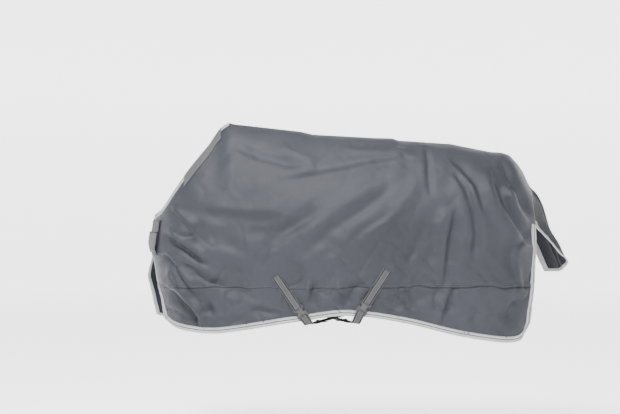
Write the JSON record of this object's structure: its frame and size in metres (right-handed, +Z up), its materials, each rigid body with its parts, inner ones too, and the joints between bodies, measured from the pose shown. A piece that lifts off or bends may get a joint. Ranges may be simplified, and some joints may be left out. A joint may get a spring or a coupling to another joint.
{
  "type": "horse fly sheet",
  "caption": "Full-body horse fly sheet with bound edges, chest closure, crossed surcingles, tail flap and leg strap rings, shaped as worn.",
  "frame": {"origin": "on the outer cloth over the withers, where the spine seam starts", "axes": "+X runs towards the tail, +Y to the horse's right (off) side, +Z up"},
  "size_m": [1.9611, 0.6749, 1.0044],
  "materials": {
    "cloth": "fine ripstop weave, slight sheen",
    "lining": "smooth woven lining",
    "tape": "ribbed woven tape with a dark line",
    "insert": "smooth stretch cloth",
    "webbing": "woven webbing with dark stripes",
    "tab": "woven tape",
    "plastic": "moulded, fine grain",
    "metal": "plated"
  },
  "bodies": {
    "rug": {"near_side_panel": "cloth", "off_side_panel": "cloth", "near_lower_panel": "cloth", "off_lower_panel": "cloth", "near_lining": "lining", "off_lining": "lining", "near_edge_binding": "tape", "off_edge_binding": "tape", "near_neck_band": "tape", "off_neck_band": "tape", "chest_insert": "insert", "snap_socket": "plastic", "chest_anchor": "webbing", "near_front_strap": "webbing", "near_rear_strap": "webbing", "front_belly_strap": "webbing", "rear_belly_strap": "webbing", "front_catch": "plastic", "rear_catch": "plastic", "near_leg_tab": "webbing", "off_leg_tab": "webbing", "tail_gore": "cloth", "tail_gore_lining": "lining"},
    "chest_strap": {"chest_strap": "webbing", "snap_stud": "metal", "pull_tab": "tab"},
    "front_hook": {"front_hook": "plastic"},
    "rear_hook": {"rear_hook": "plastic"},
    "front_adjuster": {"front_adjuster": "plastic"},
    "rear_adjuster": {"rear_adjuster": "plastic"},
    "tail_flap": {"tail_flap_panel": "cloth", "tail_flap_lining": "lining", "tail_flap_binding": "tape"},
    "near_leg_ring": {"near_leg_ring": "metal"},
    "off_leg_ring": {"off_leg_ring": "metal"}
  },
  "joints": [
    {"name": "chest_strap_open", "type": "hinge", "parent": "rug", "child": "chest_strap", "pos_m": [-0.32986, 0.1212, -0.51258], "axis": [-0.0899, 0.0633, -0.9939], "range_deg": [0, 110]},
    {"name": "front_hook_swing", "type": "hinge", "parent": "rug", "child": "front_hook", "pos_m": [0.32068, -0.32497, -0.84408], "axis": [-0.8192, 0, -0.5736], "range_deg": [0, 110]},
    {"name": "rear_hook_swing", "type": "hinge", "parent": "rug", "child": "rear_hook", "pos_m": [0.62772, -0.33302, -0.82122], "axis": [-0.8434, 0, 0.5373], "range_deg": [0, 110]},
    {"name": "front_adjuster_slide", "type": "slide", "parent": "rug", "child": "front_adjuster", "axis": [0.3079, 0.9514, 0], "range_m": [-0.04, 0.04]},
    {"name": "rear_adjuster_slide", "type": "slide", "parent": "rug", "child": "rear_adjuster", "axis": [-0.3079, 0.9514, 0], "range_m": [-0.04, 0.04]},
    {"name": "tail_flap_lift", "type": "hinge", "parent": "rug", "child": "tail_flap", "pos_m": [1.4785, 0, -0.4672], "axis": [0, -1, 0], "range_deg": [0, 60]},
    {"name": "near_leg_ring_swing", "type": "hinge", "parent": "rug", "child": "near_leg_ring", "pos_m": [1.35671, -0.22137, -0.647], "axis": [0.6978, 0.7163, 0], "range_deg": [0, 90]},
    {"name": "off_leg_ring_swing", "type": "hinge", "parent": "rug", "child": "off_leg_ring", "pos_m": [1.35671, 0.22137, -0.647], "axis": [-0.6978, 0.7163, 0], "range_deg": [0, 90]}
  ]
}
